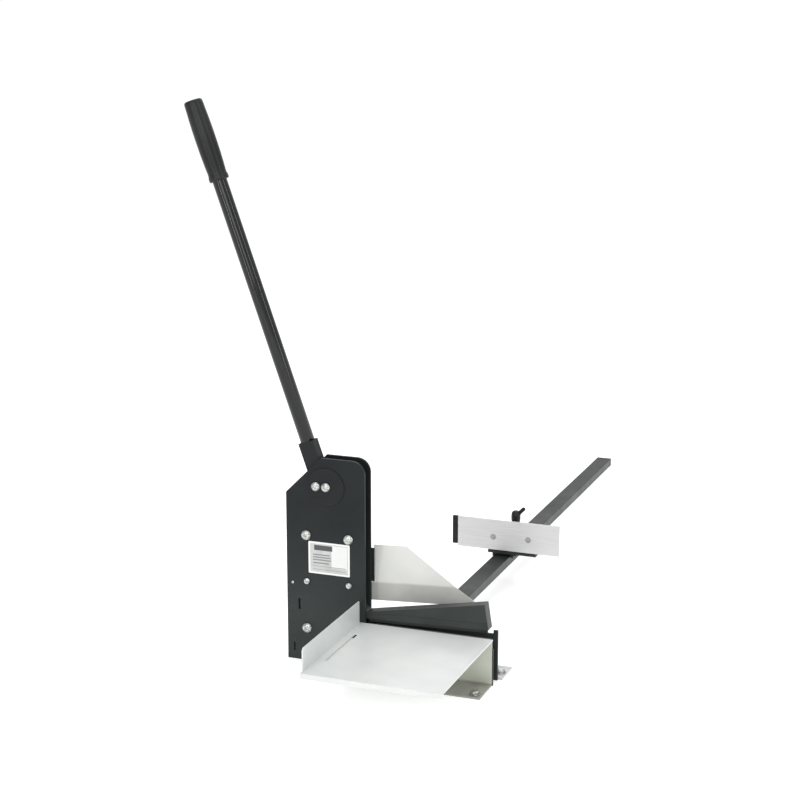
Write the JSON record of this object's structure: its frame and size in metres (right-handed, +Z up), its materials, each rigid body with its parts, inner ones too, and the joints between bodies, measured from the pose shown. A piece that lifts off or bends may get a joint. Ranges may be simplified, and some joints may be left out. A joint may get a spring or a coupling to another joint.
{
  "type": "bench guillotine cutter",
  "caption": "Bench guillotine for tiles: long hand lever, crank and link driving a wedge blade arm over a table with side fence, rear guard, and a length stop sliding on a long rail.",
  "frame": {"origin": "on the flat underside of the frame, in the middle plane between the two side plates, in line with the inner face of the table fence", "axes": "+Z is up, away from the bench; +X runs along the cut, from the column to the free end of the blade arm; +Y runs away from the operator, along the stop rail"},
  "size_m": [0.5208, 1.416, 0.89],
  "materials": {
    "zinc_bolt": "zinc plated, satin",
    "black_paint": "satin black powder coat",
    "arm_paint": "satin dark grey-green paint",
    "sheet_metal": "satin light grey coat on sheet steel",
    "fence_aluminium": "satin",
    "knife_steel": "ground tool steel",
    "tube_gloss": "gloss black",
    "black_plastic": "fine matte",
    "rail_aluminium": "dark grey coated",
    "label_film": "silver film",
    "dark_steel": "dark grey coat on steel"
  },
  "bodies": {
    "frame": {"arm_pivot_pin": "zinc_bolt", "base_bar": "black_paint", "bracket_bolt_1": "zinc_bolt", "bracket_bolt_2": "zinc_bolt", "edge_screw": "zinc_bolt", "face_screw": "zinc_bolt", "frame_bolt_1": "zinc_bolt", "frame_bolt_2": "zinc_bolt", "frame_bolt_3": "zinc_bolt", "frame_bolt_4": "zinc_bolt", "frame_spacer_1": "dark_steel", "frame_spacer_2": "dark_steel", "frame_spacer_3": "dark_steel", "frame_spacer_4": "dark_steel", "front_foot_screw_1": "zinc_bolt", "front_foot_screw_2": "zinc_bolt", "front_side_plate": "black_paint", "front_table": "sheet_metal", "guard_angle": "black_paint", "guard_screw_1": "zinc_bolt", "guard_screw_2": "zinc_bolt", "lower_knife": "knife_steel", "rail_bracket": "dark_steel", "rail_end_cap": "black_plastic", "rating_label": "label_film", "rear_foot_left": "sheet_metal", "rear_foot_left_screw": "zinc_bolt", "rear_foot_right": "sheet_metal", "rear_foot_right_screw": "zinc_bolt", "rear_guard": "sheet_metal", "rear_side_plate": "black_paint", "slot_strip": "sheet_metal", "stop_rail": "rail_aluminium", "table_bracket": "sheet_metal"},
    "lever": {"crank_bolt": "zinc_bolt", "hub_disc_front": "black_paint", "hub_disc_rear": "black_paint", "lever_grip": "black_plastic", "lever_hub": "black_paint", "lever_pivot_bolt": "zinc_bolt", "lever_tube": "tube_gloss"},
    "link": {"link_bar": "dark_steel"},
    "arm": {"blade_arm": "arm_paint", "knife_screw_1": "zinc_bolt", "knife_screw_2": "zinc_bolt", "link_pin": "dark_steel", "upper_knife": "knife_steel"},
    "stop": {"fence_end_pad": "black_plastic", "fence_screw_1": "zinc_bolt", "fence_screw_2": "zinc_bolt", "stop_angle": "black_paint", "stop_fence": "fence_aluminium", "stop_slider": "black_paint"},
    "clamp": {"clamp_handle": "black_plastic", "clamp_screw": "zinc_bolt"}
  },
  "joints": [
    {"name": "lever_swing", "type": "hinge", "parent": "frame", "child": "lever", "pos_m": [-0.057, 0, 0.292], "axis": [0, 1, 0], "range_deg": [-42, 0]},
    {"name": "link_turn", "type": "hinge", "parent": "lever", "child": "link", "pos_m": [-0.074, 0, 0.292], "axis": [0, 1, 0], "range_deg": [0, 43]},
    {"name": "arm_swing", "type": "hinge", "parent": "frame", "child": "arm", "pos_m": [-0.0915, 0, 0.1335], "axis": [0, 1, 0], "range_deg": [0, 10]},
    {"name": "stop_slide", "type": "slide", "parent": "frame", "child": "stop", "axis": [0, 1, 0], "range_m": [-0.3, 0.66]},
    {"name": "clamp_turn", "type": "hinge", "parent": "stop", "child": "clamp", "pos_m": [0.109, 0.46, 0.1], "axis": [0, 0, 1], "range_deg": [-90, 90]}
  ],
  "couplings": [
    {"joint": "link_turn", "follows": "lever_swing", "ratio": -1.017},
    {"joint": "arm_swing", "follows": "lever_swing", "ratio": -0.238}
  ]
}
